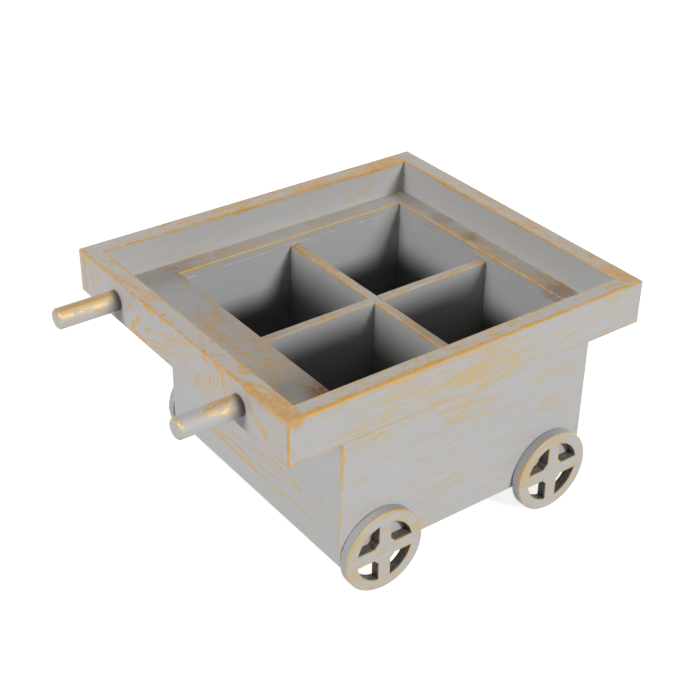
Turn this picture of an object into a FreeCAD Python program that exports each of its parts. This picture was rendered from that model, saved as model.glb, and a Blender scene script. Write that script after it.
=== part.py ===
import FreeCAD, Part
import os

# Drinks trolley: a shallow wooden tray with two dowel handles, standing on a divided box
# that rolls on two axles with spoked wooden wheels. Lengths are in millimetres.
# +X runs from the handles to the far end, +Y is the far side, +Z is up. The origin lies
# on the ground, under the middle of the whole trolley with its handles.

Vector = FreeCAD.Vector

os.makedirs("parts", exist_ok=True)

# Box and compartments
compartment_size = 79.5        # clear width of each of the four square compartments
divider_thickness = 6.0
wall_thickness = 5.5
wall_height = 98.5
base_thickness = 5.5
base_recess = 7.5              # from the walls' lower edge up to the base board
halving_play = 0.15            # slack round the cross-halved joint of the two dividers

# Tray
rail_thickness = 11.0
rail_height = 27.0
floor_thickness = 5.5
side_ledge = 12.5              # tray floor left standing beside the well, on three sides
handle_ledge = 40.5            # the same at the handle end
arris = 0.5                    # sanded edge of every board

# Handles
handle_diameter = 12.0
handle_reach = 37.0            # how far a handle stands out of the tray
handle_inset = 43.0            # a handle's axis in from the tray's long side
handle_rounding = 1.0
handle_tenon_diameter = 11.0   # the end turned down to go through the rail
handle_shoulder_edge = 0.3     # eased edge of the shoulder that rests on the rail
handle_glue_line = 0.05

# Wheels and axles
wheel_diameter = 52.0
wheel_thickness = 6.0
rim_width = 7.0
spoke_width = 8.0
hub_diameter = 16.0
wheel_edge = 0.5               # eased front edge of the rim
wheel_gap = 0.4                # between a wheel and the wall beside it
axle_diameter = 4.0
axle_inset = 25.5              # an axle in from the box's end
axle_rise = 4.5                # axle above the walls' lower edge
axle_play = 0.08               # running clearance in the wall, on the radius
axle_seat = 4.0                # how deep the axle sits in a wheel
axle_seat_room = 0.2           # left past the axle's end
axle_seat_fit = 0.02
axle_point = 0.4

# Brads: flat-sided wire nails with a narrow head and a chisel point
brad_width = 1.25
brad_thickness = 1.05
brad_head_width = 1.9
brad_head_depth = 0.8
brad_point = 1.5
brad_room = 0.04               # between a brad and the wood round it
long_brad = 25.0
short_brad = 16.0

# Sizes that follow
well_size = 2 * compartment_size + divider_thickness
box_size = well_size + 2 * wall_thickness
tray_length = 2 * rail_thickness + handle_ledge + well_size + side_ledge
tray_width = 2 * rail_thickness + 2 * side_ledge + well_size
overall_length = tray_length + handle_reach
wheel_radius = wheel_diameter / 2
axle_radius = axle_diameter / 2
handle_radius = handle_diameter / 2
tenon_radius = handle_tenon_diameter / 2

tray_end = overall_length / 2
tray_start = tray_end - tray_length
tray_side = tray_width / 2
well_end = tray_end - rail_thickness - side_ledge
well_start = well_end - well_size
well_side = well_size / 2
box_start = well_start - wall_thickness
box_end = well_end + wall_thickness
box_side = well_side + wall_thickness
box_middle = (box_start + box_end) / 2

axle_height = wheel_radius
box_bottom = axle_height - axle_rise
tray_bottom = box_bottom + wall_height
tray_top = tray_bottom + rail_height
floor_top = tray_bottom + floor_thickness
base_bottom = box_bottom + base_recess
base_top = base_bottom + base_thickness
handle_height = tray_bottom + rail_height / 2

nodes = {}


def block(x0, x1, y0, y1, z0, z1):
    """A square-edged block between two corners."""
    return Part.makeBox(x1 - x0, y1 - y0, z1 - z0, Vector(x0, y0, z0))


def same(a, b):
    """True where two places agree to within a small part of a sanded edge."""
    return abs(a - b) < arris / 10


def on_outline(point, x0, x1, y0, y1):
    """True for a point above or below the outline of a rectangle."""
    inside = x0 - arris < point.x < x1 + arris and y0 - arris < point.y < y1 + arris
    on_x = same(point.x, x0) or same(point.x, x1)
    on_y = same(point.y, y0) or same(point.y, y1)
    return inside and (on_x or on_y)


def sanded(solid, chosen):
    """Eases every edge whose middle is chosen, as sanding does."""
    edges = [edge for edge in solid.Edges if chosen(edge.CenterOfMass)]
    return solid.makeChamfer(arris, edges)


def turned(outline, start, direction):
    """Turns an outline of (radius, height) points into a solid along a direction."""
    points = [Vector(radius, 0, height) for radius, height in outline]
    face = Part.Face(Part.makePolygon(points + points[:1]))
    solid = face.revolve(Vector(0, 0, 0), Vector(0, 0, 1), 360)
    turn = FreeCAD.Rotation(Vector(0, 0, 1), direction)
    solid.Placement = FreeCAD.Placement(start, turn)
    return solid


# Every brad driven so far: its group, the boards it goes through, the place of its head,
# the way it points and its length
brads = []


def drive(group, boards, start, direction, length):
    """Notes a brad, so that it and the room for it come from the same values."""
    brads.append((group, boards, start, direction, length))


def brad_solid(start, direction, length, room=0):
    """A brad with its head flush at the start, or the hole it fills where room is given."""
    across = Vector(1, 0, 0) if abs(direction.z) > abs(direction.x) else Vector(0, 0, 1)
    half_wire = brad_width / 2 + room
    half_head = brad_head_width / 2 + room
    neck = brad_head_depth + room
    shoulder = length - brad_point
    outline = [
        (-half_head, 0),
        (half_head, 0),
        (half_head, neck),
        (half_wire, neck),
        (half_wire, shoulder),
        (0, length + room),
        (-half_wire, shoulder),
        (-half_wire, neck),
        (-half_head, neck),
    ]
    through = across.cross(direction)
    depth = brad_thickness + 2 * room
    corner = start - through * (depth / 2)
    points = [corner + across * wide + direction * deep for wide, deep in outline]
    face = Part.Face(Part.makePolygon(points + points[:1]))
    return face.extrude(through * depth)


def make_tray_frame():
    """Four rails: the frame is sanded as one ring and then parted at its butt joints."""
    inner_start = tray_start + rail_thickness
    inner_end = tray_end - rail_thickness
    inner_side = tray_side - rail_thickness
    outer = block(tray_start, tray_end, -tray_side, tray_side, tray_bottom, tray_top)
    inner = block(inner_start, inner_end, -inner_side, inner_side, tray_bottom, tray_top)
    ring = outer.cut(inner)
    middle_height = (tray_bottom + tray_top) / 2

    def eased_edge(point):
        outside = on_outline(point, tray_start, tray_end, -tray_side, tray_side)
        corner = outside and same(point.z, middle_height)
        return same(point.z, tray_top) or outside and same(point.z, tray_bottom) or corner

    ring = sanded(ring, eased_edge)
    spans = {
        "handle_end_rail": (tray_start, inner_start, -tray_side, tray_side),
        "far_end_rail": (inner_end, tray_end, -tray_side, tray_side),
        "near_side_rail": (inner_start, inner_end, -tray_side, -inner_side),
        "far_side_rail": (inner_start, inner_end, inner_side, tray_side),
    }
    for name, (x0, x1, y0, y1) in spans.items():
        nodes[name] = ring.common(block(x0, x1, y0, y1, tray_bottom, tray_top))

    # Two brads at each corner, through the end rail into the side rail's end
    brad_height_shares = (0.3, 0.7)
    for side, rail in ((-1, "near_side_rail"), (1, "far_side_rail")):
        for share in brad_height_shares:
            place_y = side * (tray_side - rail_thickness / 2)
            place_z = tray_bottom + share * rail_height
            drive("rail_corner_brads", ("handle_end_rail", rail),
                  Vector(tray_start, place_y, place_z), Vector(1, 0, 0), long_brad)
            drive("rail_corner_brads", ("far_end_rail", rail),
                  Vector(tray_end, place_y, place_z), Vector(-1, 0, 0), long_brad)


def make_tray_floor():
    """Floor panel inside the rails, flush with their lower edges, with the square well."""
    inner_start = tray_start + rail_thickness
    inner_end = tray_end - rail_thickness
    inner_side = tray_side - rail_thickness
    panel = block(inner_start, inner_end, -inner_side, inner_side, tray_bottom, floor_top)
    panel = panel.cut(block(well_start, well_end, -well_side, well_side, tray_bottom, floor_top))

    def well_edge(point):
        outline = on_outline(point, well_start, well_end, -well_side, well_side)
        return outline and same(point.z, floor_top)

    nodes["tray_floor"] = sanded(panel, well_edge)

    # Brads through the side rails into the panel's edges
    place_z = tray_bottom + floor_thickness / 2
    brad_place_shares = (0.15, 0.5, 0.85)
    for side, rail in ((-1, "near_side_rail"), (1, "far_side_rail")):
        for share in brad_place_shares:
            place_x = inner_start + share * (inner_end - inner_start)
            drive("floor_edge_brads", (rail, "tray_floor"),
                  Vector(place_x, side * tray_side, place_z), Vector(0, -side, 0), short_brad)


def make_box_walls():
    """Four walls: long side walls, with the end walls standing between them."""
    outer = block(box_start, box_end, -box_side, box_side, box_bottom, tray_bottom)
    inner = block(well_start, well_end, -well_side, well_side, box_bottom, tray_bottom)
    ring = outer.cut(inner)
    middle_height = (box_bottom + tray_bottom) / 2

    def eased_edge(point):
        outside = on_outline(point, box_start, box_end, -box_side, box_side)
        return outside and (same(point.z, box_bottom) or same(point.z, middle_height))

    ring = sanded(ring, eased_edge)
    spans = {
        "near_side_wall": (box_start, box_end, -box_side, -well_side),
        "far_side_wall": (box_start, box_end, well_side, box_side),
        "handle_end_wall": (box_start, well_start, -well_side, well_side),
        "far_end_wall": (well_end, box_end, -well_side, well_side),
    }
    for name, (x0, x1, y0, y1) in spans.items():
        nodes[name] = ring.common(block(x0, x1, y0, y1, box_bottom, tray_bottom))

    # Running bores for the axles, through both side walls
    for wall, side in (("near_side_wall", -1), ("far_side_wall", 1)):
        for axle_x in axle_places():
            bore_start = Vector(axle_x, side * box_side, axle_height)
            bore = Part.makeCylinder(axle_radius + axle_play, wall_thickness,
                                     bore_start, Vector(0, -side, 0))
            nodes[wall] = nodes[wall].cut(bore)

    # Brads through the side walls into the end walls' edges
    brad_height_shares = (0.25, 0.8)
    handle_end_line = box_start + wall_thickness / 2
    far_end_line = box_end - wall_thickness / 2
    for side, wall in ((-1, "near_side_wall"), (1, "far_side_wall")):
        for end, place_x in (("handle_end_wall", handle_end_line), ("far_end_wall", far_end_line)):
            for share in brad_height_shares:
                drive("wall_corner_brads", (wall, end),
                      Vector(place_x, side * box_side, box_bottom + share * wall_height),
                      Vector(0, -side, 0), short_brad)

    # Brads down through the tray floor into the walls' upper edges
    brad_place_shares = (0.2, 0.8)
    wall_line = well_side + wall_thickness / 2
    for share in brad_place_shares:
        place_x = well_start + share * well_size
        place_y = -well_side + share * well_size
        for wall, x, y in (("near_side_wall", place_x, -wall_line),
                           ("far_side_wall", place_x, wall_line),
                           ("handle_end_wall", well_start - wall_thickness / 2, place_y),
                           ("far_end_wall", well_end + wall_thickness / 2, place_y)):
            drive("tray_to_box_brads", ("tray_floor", wall),
                  Vector(x, y, floor_top), Vector(0, 0, -1), short_brad)


def make_base():
    """Base board, let in between the walls just above the axles."""
    nodes["base_board"] = block(well_start, well_end, -well_side, well_side, base_bottom, base_top)

    # Brads through all four walls into the board's edges
    place_z = base_bottom + base_thickness / 2
    brad_place_shares = (0.25, 0.75)
    for share in brad_place_shares:
        place_x = well_start + share * well_size
        place_y = -well_side + share * well_size
        for wall, start, direction in (
                ("near_side_wall", Vector(place_x, -box_side, place_z), Vector(0, 1, 0)),
                ("far_side_wall", Vector(place_x, box_side, place_z), Vector(0, -1, 0)),
                ("handle_end_wall", Vector(box_start, place_y, place_z), Vector(1, 0, 0)),
                ("far_end_wall", Vector(box_end, place_y, place_z), Vector(-1, 0, 0))):
            drive("base_brads", (wall, "base_board"), start, direction, short_brad)


def make_dividers():
    """Two crossing boards, halved into each other: one is slotted from above, one from below."""
    half = divider_thickness / 2
    slot_half = half + halving_play
    middle_height = (base_top + tray_bottom) / 2
    lengthwise = block(well_start, well_end, -half, half, base_top, tray_bottom)
    crosswise = block(box_middle - half, box_middle + half, -well_side, well_side,
                      base_top, tray_bottom)

    def top_edge(point):
        along_x = same(abs(point.y), half)
        along_y = same(abs(point.x - box_middle), half)
        return same(point.z, tray_bottom) and (along_x or along_y)

    lengthwise = sanded(lengthwise, top_edge)
    crosswise = sanded(crosswise, top_edge)
    slot_down = block(box_middle - slot_half, box_middle + slot_half, -half, half,
                      middle_height - halving_play, tray_bottom)
    slot_up = block(box_middle - half, box_middle + half, -slot_half, slot_half,
                    base_top, middle_height)
    nodes["long_divider"] = lengthwise.cut(slot_down)
    nodes["cross_divider"] = crosswise.cut(slot_up)

    # Brads through the walls into the dividers' ends
    brad_height_shares = (0.3, 0.75)
    for share in brad_height_shares:
        place_z = base_top + share * (tray_bottom - base_top)
        for wall, x, direction in (("handle_end_wall", box_start, Vector(1, 0, 0)),
                                   ("far_end_wall", box_end, Vector(-1, 0, 0))):
            drive("divider_brads", (wall, "long_divider"),
                  Vector(x, 0, place_z), direction, short_brad)
        for wall, y, direction in (("near_side_wall", -box_side, Vector(0, 1, 0)),
                                   ("far_side_wall", box_side, Vector(0, -1, 0))):
            drive("divider_brads", (wall, "cross_divider"),
                  Vector(box_middle, y, place_z), direction, short_brad)


def make_handles():
    """Two dowels, each with a tenon glued through the rail and flush with its inner face."""
    length = handle_reach + rail_thickness
    outline = [
        (0, 0),
        (handle_radius - handle_rounding, 0),
        (handle_radius, handle_rounding),
        (handle_radius, handle_reach - handle_shoulder_edge),
        (handle_radius - handle_shoulder_edge, handle_reach),
        (tenon_radius, handle_reach),
        (tenon_radius, length),
        (0, length),
    ]
    for name, side in (("near_handle", -1), ("far_handle", 1)):
        place_y = side * (tray_side - handle_inset)
        start = Vector(tray_start - handle_reach, place_y, handle_height)
        nodes[name] = turned(outline, start, Vector(1, 0, 0))
        bore_start = Vector(tray_start, place_y, handle_height)
        bore_radius = tenon_radius + handle_glue_line
        bore = Part.makeCylinder(bore_radius, rail_thickness, bore_start, Vector(1, 0, 0))
        nodes["handle_end_rail"] = nodes["handle_end_rail"].cut(bore)


def axle_places():
    """Where the two axles cross the box, from the handle end."""
    return box_start + axle_inset, box_end - axle_inset


def wheel_solid():
    """A wheel lying on its back: rim, four spokes and a round hub, sawn from one board."""
    outline = [
        (0, 0),
        (wheel_radius, 0),
        (wheel_radius, wheel_thickness - wheel_edge),
        (wheel_radius - wheel_edge, wheel_thickness),
        (0, wheel_thickness),
    ]
    wheel = turned(outline, Vector(0, 0, 0), Vector(0, 0, 1))
    window_radius = wheel_radius - rim_width
    spoke_side = spoke_width / 2
    window = Part.makeCylinder(window_radius, wheel_thickness)
    window = window.cut(Part.makeCylinder(hub_diameter / 2, wheel_thickness))
    window = window.common(block(spoke_side, wheel_radius, spoke_side, wheel_radius, 0, wheel_thickness))
    for quarter in range(4):
        wheel = wheel.cut(window)
        window.rotate(Vector(0, 0, 0), Vector(0, 0, 1), 90)
    seat = Part.makeCylinder(axle_radius + axle_seat_fit, axle_seat + axle_seat_room)
    return wheel.cut(seat)


def make_wheel_sets():
    """Two axles, each turning in both side walls with a wheel glued on each end."""
    wheel = wheel_solid()
    wheel_back = box_side + wheel_gap
    half_axle = wheel_back + axle_seat
    outline = [
        (0, -half_axle),
        (axle_radius - axle_point, -half_axle),
        (axle_radius, -half_axle + axle_point),
        (axle_radius, half_axle - axle_point),
        (axle_radius - axle_point, half_axle),
        (0, half_axle),
    ]
    for end, axle_x in zip(("handle_end", "far_end"), axle_places()):
        nodes[end + "_axle"] = turned(outline, Vector(axle_x, 0, axle_height), Vector(0, 1, 0))
        for name, side in (("near", -1), ("far", 1)):
            copy = wheel.copy()
            copy.rotate(Vector(0, 0, 0), Vector(1, 0, 0), -side * 90)
            copy.translate(Vector(axle_x, side * wheel_back, axle_height))
            nodes[end + "_" + name + "_wheel"] = copy


def make_brads():
    """Cuts the room for every brad and gathers the brads of each group as separate solids."""
    groups = {}
    for group, boards, start, direction, length in brads:
        hole = brad_solid(start, direction, length, brad_room)
        for board in boards:
            nodes[board] = nodes[board].cut(hole)
        groups.setdefault(group, []).append(brad_solid(start, direction, length))
    for group, solids in groups.items():
        nodes[group] = Part.makeCompound(solids)


def write_parts():
    """Writes each sub-part and prints what it holds."""
    for name, shape in nodes.items():
        solids = shape.Solids
        if len(solids) == 1:
            shape = solids[0]
        shape.exportStep("parts/" + name + ".step")
        print(name, len(solids), "solids", round(shape.Volume, 1), "mm3", "valid", shape.isValid())


make_tray_frame()
make_tray_floor()
make_box_walls()
make_base()
make_dividers()
make_handles()
make_wheel_sets()
make_brads()
write_parts()
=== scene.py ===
import bpy
import math
import random
from mathutils import Matrix, Vector


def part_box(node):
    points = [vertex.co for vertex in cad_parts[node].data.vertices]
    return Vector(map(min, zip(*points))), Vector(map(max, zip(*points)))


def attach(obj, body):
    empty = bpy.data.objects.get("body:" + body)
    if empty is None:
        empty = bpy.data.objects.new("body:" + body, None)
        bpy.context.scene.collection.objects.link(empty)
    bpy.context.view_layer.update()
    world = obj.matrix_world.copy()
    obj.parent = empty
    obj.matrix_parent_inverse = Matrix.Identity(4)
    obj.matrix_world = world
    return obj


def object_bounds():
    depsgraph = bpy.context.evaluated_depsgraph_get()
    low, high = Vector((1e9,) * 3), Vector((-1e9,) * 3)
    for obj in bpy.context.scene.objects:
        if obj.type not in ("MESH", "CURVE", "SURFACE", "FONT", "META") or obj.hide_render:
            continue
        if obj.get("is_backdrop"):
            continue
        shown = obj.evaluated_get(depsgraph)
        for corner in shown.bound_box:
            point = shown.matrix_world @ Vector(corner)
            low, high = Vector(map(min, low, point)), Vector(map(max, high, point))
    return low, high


# Looks for a small painted drinks trolley: brushed grey paint over wood, gold wax rubbed on its edges.
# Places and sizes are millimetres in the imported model's frame: +X from the handles to the far end,
# +Y to the far side, +Z up. Only what Blender is given is in metres.

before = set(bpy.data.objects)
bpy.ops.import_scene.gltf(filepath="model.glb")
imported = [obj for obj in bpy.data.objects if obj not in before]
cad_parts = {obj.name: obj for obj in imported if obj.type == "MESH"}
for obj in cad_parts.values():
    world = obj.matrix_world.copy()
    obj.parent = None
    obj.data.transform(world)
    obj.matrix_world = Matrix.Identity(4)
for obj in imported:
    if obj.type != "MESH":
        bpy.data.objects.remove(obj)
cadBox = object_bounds()
mm = 0.001
place = {name: [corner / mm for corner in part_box(name)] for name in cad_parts}
print("frame loaded:", len(place), "nodes")


def outlineOf(first, last):
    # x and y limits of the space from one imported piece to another
    low, high = place[first][0], place[last][1]
    return low.x, high.x, low.y, high.y


# Outlines seen from above and heights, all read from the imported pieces
trayOutline = outlineOf("handle_end_rail", "far_end_rail")
trayInside = outlineOf("tray_floor", "tray_floor")
boxOutline = outlineOf("near_side_wall", "far_side_wall")
well = outlineOf("base_board", "base_board")
trayBottom, trayTop = place["handle_end_rail"][0].z, place["handle_end_rail"][1].z
floorTop = place["tray_floor"][1].z
boxBottom, dividerTop = place["near_side_wall"][0].z, place["long_divider"][1].z


def toLinear(hexColour):
    # sRGB hex to the linear colour that the nodes mix in
    parts = [int(hexColour[i:i + 2], 16) / 255 for i in (1, 3, 5)]
    return [p / 12.92 if p <= 0.04045 else ((p + 0.055) / 1.055) ** 2.4 for p in parts] + [1.0]


def addNode(tree, kind, inputs=None, out=0, **settings):
    # adds one node, sets what it is given, links what comes from another node
    made = tree.nodes.new("ShaderNode" + kind)
    for name, value in settings.items():
        setattr(made, name, value)
    for key, value in (inputs or {}).items():
        if isinstance(value, bpy.types.NodeSocket):
            tree.links.new(value, made.inputs[key])
        else:
            made.inputs[key].default_value = value
    return made.outputs[out] if made.outputs else None


def newFinish(name):
    # an empty material and the place on the piece in millimetres
    made = bpy.data.materials.new(name)
    made.use_nodes = True
    tree = made.node_tree
    tree.nodes.clear()
    spot = addNode(tree, "TexCoord", out="Object")
    return made, tree, addNode(tree, "VectorMath", {0: spot, "Scale": 1 / mm}, operation="SCALE")


# What the patterns are made of: nearly all of a noise lies from low to high, and two patterns whose
# shifts differ by one are taken a step apart
noise = {"low": 0.3, "high": 0.7, "middle": 0.5, "roughness": 0.6, "step": (37, 53, 71)}


def uneven(tree, spot, size, detail=2.0, shift=0.0, turn=(0, 0, 0)):
    # a pattern that wanders round the middle, in patches of a size along x, y and z
    moved = addNode(tree, "Mapping", {"Vector": spot, "Location": [shift * step for step in noise["step"]],
                                      "Rotation": turn, "Scale": size}, vector_type="TEXTURE")
    return addNode(tree, "TexNoise", {"Vector": moved, "Scale": 1.0, "Detail": detail,
                                      "Roughness": noise["roughness"]})


def patches(tree, spot, size, low, high, detail=2.0, shift=0.0, turn=(0, 0, 0)):
    # the same, turned into soft patches between 0 and 1
    pattern = uneven(tree, spot, size, detail, shift, turn)
    return addNode(tree, "MapRange", {"Value": pattern, "From Min": low, "From Max": high},
                   interpolation_type="SMOOTHSTEP")


def masked(tree, *masks):
    # where all the masks are
    made = masks[0]
    for mask in masks[1:]:
        made = addNode(tree, "Math", {0: made, 1: mask}, operation="MULTIPLY")
    return made


def strongest(tree, *masks):
    # where any of the masks is
    made = masks[0]
    for mask in masks[1:]:
        made = addNode(tree, "Math", {0: made, 1: mask}, operation="MAXIMUM")
    return made


def opposite(tree, mask):
    # where a mask isn't
    return addNode(tree, "Math", {0: 1.0, 1: mask}, operation="SUBTRACT")


def away(tree, value, level=0.0):
    # unsigned distance of a value from a level
    off = addNode(tree, "Math", {0: value, 1: level}, operation="SUBTRACT")
    return addNode(tree, "Math", {0: off}, operation="ABSOLUTE")


def near(tree, spot, x, y, z, radius, core=0.2):
    # 1 round a place, as far as a share of a radius, falling to 0 at the radius
    gap = addNode(tree, "VectorMath", {0: spot, 1: (x, y, z)}, out="Value", operation="DISTANCE")
    return addNode(tree, "MapRange", {"Value": gap, "From Min": radius, "From Max": radius * core},
                   interpolation_type="SMOOTHSTEP")


def richer(tree, spot, level, places):
    # a level raised round some places: x, y, z, radius, how much more there
    for x, y, z, radius, extra in places:
        here = near(tree, spot, x, y, z, radius)
        level = addNode(tree, "Math", {0: here, 1: extra, 2: level}, operation="MULTIPLY_ADD")
    return level


def softSpots(tree, spot, places):
    # round spots that fade outwards: x, y, z, radius, strength
    made = 0.0
    for x, y, z, radius, strength in places:
        made = strongest(tree, made, masked(tree, near(tree, spot, x, y, z, radius), strength))
    return made


def drifting(tree, spot, size, reach, widened=3.5):
    # the place shifted to and fro by about a reach, so that lines measured from it wander
    drift = addNode(tree, "VectorMath", {0: spot, "Scale": 1 / size}, operation="SCALE")
    drift = addNode(tree, "TexNoise", {"Vector": drift, "Scale": 1.0, "Detail": 3.0}, out="Color")
    drift = addNode(tree, "VectorMath", {0: drift, 1: [noise["middle"]] * 3}, operation="SUBTRACT")
    drift = addNode(tree, "VectorMath", {0: drift, "Scale": widened * reach}, operation="SCALE")
    return addNode(tree, "VectorMath", {0: spot, 1: drift}, operation="ADD")


def planDistance(tree, spot, outline):
    # how far a place lies from an outline seen from above: from its sides, and from its corners
    x0, x1, y0, y1 = outline
    off = addNode(tree, "VectorMath", {0: spot, 1: ((x0 + x1) / 2, (y0 + y1) / 2, 0)}, operation="SUBTRACT")
    off = addNode(tree, "VectorMath", {0: off}, operation="ABSOLUTE")
    off = addNode(tree, "VectorMath", {0: off, 1: ((x1 - x0) / 2, (y1 - y0) / 2, 0)}, operation="SUBTRACT")
    offX = addNode(tree, "SeparateXYZ", {0: off}, out="X")
    offY = addNode(tree, "SeparateXYZ", {0: off}, out="Y")
    side = addNode(tree, "Math", {0: offX, 1: offY}, operation="MAXIMUM")
    corner = addNode(tree, "Math", {0: offX, 1: offY}, operation="MINIMUM")
    return away(tree, side), away(tree, corner)


# Wax on an edge where a piece says nothing else. Shares are of its width at that place.
edgeWax = {
    "richer": (), "frayed": (2.4, 2.4, 0.9), "tearShares": (0.45, 1.9),
    "solidShare": 0.6, "goneShare": 1.2,           # where it is full, and where it ends
    "filmShares": (3.5, 1.0), "film": 0.22,        # the thin film beside it
    "wornShare": 0.8, "wornLow": 0.36, "wornHigh": 0.56,     # worn patches, their size as a share of its run
}


def rubbedEdge(tree, spot, faceA, faceB, look):
    # wax on the edge where two faces meet: its width varies, it thins out in places, a film lies beside it
    look = dict(edgeWax, **look)
    distance = strongest(tree, faceA, faceB)
    width = uneven(tree, spot, [look["run"]] * 3, detail=3, shift=look["shift"])
    width = addNode(tree, "MapRange", {"Value": width, "From Min": noise["low"], "From Max": noise["high"],
                                       "To Min": look["thin"], "To Max": look["thick"]})
    width = richer(tree, spot, width, look["richer"])
    fray = uneven(tree, spot, look["frayed"], detail=4, shift=look["shift"] + 3)
    tearIn, tearOut = look["tearShares"]
    fray = addNode(tree, "MapRange", {"Value": fray, "From Min": noise["low"], "From Max": noise["high"],
                                      "To Min": tearIn, "To Max": tearOut})
    share = addNode(tree, "Math", {0: distance, 1: masked(tree, width, fray)}, operation="DIVIDE")
    core = addNode(tree, "MapRange", {"Value": share, "From Min": look["goneShare"],
                                      "From Max": look["solidShare"]}, interpolation_type="SMOOTHSTEP")
    filmEnd, filmStart = look["filmShares"]
    film = addNode(tree, "MapRange", {"Value": share, "From Min": filmEnd, "From Max": filmStart,
                                      "To Max": look["film"]}, interpolation_type="SMOOTHSTEP")
    wornSize = [look["run"] * look["wornShare"]] * 3
    worn = patches(tree, spot, wornSize, look["wornLow"], look["wornHigh"], detail=3,
                   shift=look["shift"] + 7)
    worn = addNode(tree, "MapRange", {"Value": worn, "To Min": look["least"], "To Max": look["most"]})
    return masked(tree, strongest(tree, core, film), worn)


# Wax left by a nearly dry brush, where a piece says nothing else
brushWax = {
    "richer": (), "turn": (0, 0, 0), "fine": 2, "soft": 0.13,
    "brokenShare": 0.45, "brokenLow": 0.3, "brokenHigh": 0.62, "brokenLeast": 0.35,     # gaps in a stroke
    "hazeBelow": 0.22, "hazeAbove": 0.1,           # how far round the start's level the haze comes in
}


def brushed(tree, spot, look):
    # fine strokes of wax along the grain, gathered in bands, with a thin haze round them
    look = dict(brushWax, **look)
    strokes = uneven(tree, spot, look["stroke"], look["fine"], look["shift"], look["turn"])
    bands = uneven(tree, spot, look["band"], shift=look["shift"] + 1)
    level = addNode(tree, "Math", {0: bands, 1: look["gather"], 2: strokes}, operation="MULTIPLY_ADD")
    level = richer(tree, spot, level, look["richer"])
    start = look["start"] + look["gather"] / 2
    gapSize = [size * look["brokenShare"] for size in look["stroke"]]
    broken = patches(tree, spot, gapSize, look["brokenLow"], look["brokenHigh"], shift=look["shift"] + 5)
    broken = addNode(tree, "MapRange", {"Value": broken, "To Min": look["brokenLeast"]})
    stroke = addNode(tree, "MapRange", {"Value": level, "From Min": start, "From Max": start + look["soft"],
                                        "To Max": look["strength"]}, interpolation_type="SMOOTHSTEP")
    haze = addNode(tree, "MapRange", {"Value": level, "From Min": start - look["hazeBelow"],
                                      "From Max": start + look["hazeAbove"], "To Max": look["haze"]})
    return addNode(tree, "Math", {0: stroke, 1: broken, 2: haze}, operation="MULTIPLY_ADD")


# Single strokes of wax: full and end are shares of half a stroke's width, scratch of its grain's sizes
strokeWax = {
    "ragLow": 0.35, "ragHigh": 0.65, "mostRag": 1.8, "fullShare": 0.5, "endShare": 1.3,
    "scratchShare": 1.2, "scratchLow": 0.3, "scratchHigh": 0.6, "scratchTurn": (0.1, 0.1, 0.2),
    "least": 0.68, "most": 1.15,
}


def dabs(tree, spot, marks, grain):
    # single strokes of wax, each drawn through two or more places, ragged at their sides
    look = strokeWax
    ragged = uneven(tree, spot, grain, detail=4, shift=5)
    ragged = addNode(tree, "MapRange", {"Value": ragged, "From Min": look["ragLow"],
                                        "From Max": look["ragHigh"], "To Min": -0.5, "To Max": 0.5})
    made = 0.0
    for places, width, strength in marks:
        for start, end in zip(places, places[1:]):
            run = Vector(end) - Vector(start)
            off = addNode(tree, "VectorMath", {0: spot, 1: start}, operation="SUBTRACT")
            share = addNode(tree, "VectorMath", {0: off, 1: run}, out="Value", operation="DOT_PRODUCT")
            share = addNode(tree, "MapRange", {"Value": share, "From Max": run.length_squared})
            foot = addNode(tree, "VectorMath", {0: run, "Scale": share}, operation="SCALE")
            gap = addNode(tree, "VectorMath", {0: off, 1: foot}, out="Value", operation="DISTANCE")
            rag = min(width, look["mostRag"])
            gap = addNode(tree, "Math", {0: ragged, 1: rag, 2: gap}, operation="MULTIPLY_ADD")
            stroke = addNode(tree, "MapRange", {"Value": gap, "From Min": width * look["endShare"],
                                                "From Max": width * look["fullShare"], "To Max": strength},
                             interpolation_type="SMOOTHSTEP")
            made = strongest(tree, made, stroke)
    scratchSize = [size * look["scratchShare"] for size in grain]
    scratched = patches(tree, spot, scratchSize, look["scratchLow"], look["scratchHigh"], detail=5, shift=8,
                        turn=look["scratchTurn"])
    scratched = addNode(tree, "MapRange", {"Value": scratched, "To Min": look["least"],
                                           "To Max": look["most"]})
    return masked(tree, made, scratched)


# What every painted piece shares: brushed water-based paint, satin to matt, and gilding wax
paintLook = {
    # shade: the darker grey mixed in as painted shade inside the tray and box, and as dirt specks on the
    # glue seams
    "grey": "#B6B6B7", "paleGrey": "#BABABB", "shade": "#757676", "film": "#C49C42", "freshFilm": "#C6A83C",
    "wax": "#C59337", "freshWax": "#CCA43B", "brightWax": "#E0AD5E", "metal": 0.14, "paintRough": 0.62,
    "waxRough": 0.4, "ior": 1.5, "relief": 0.15, "reliefDepth": 0.1,
    # how much wax is still a film, and how much is thick
    "filmWax": 0.4, "thickWax": 0.75,
    # patches rubbed to a brighter gold
    "glintSize": (6, 6, 6), "glintLow": 0.45, "glintHigh": 0.7, "glints": 0.5,
}


def glints(tree, spot, strength):
    # patches where the wax is rubbed to a brighter gold
    look = paintLook
    bright = patches(tree, spot, look["glintSize"], look["glintLow"], look["glintHigh"], shift=4)
    return masked(tree, bright, strength)


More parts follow.
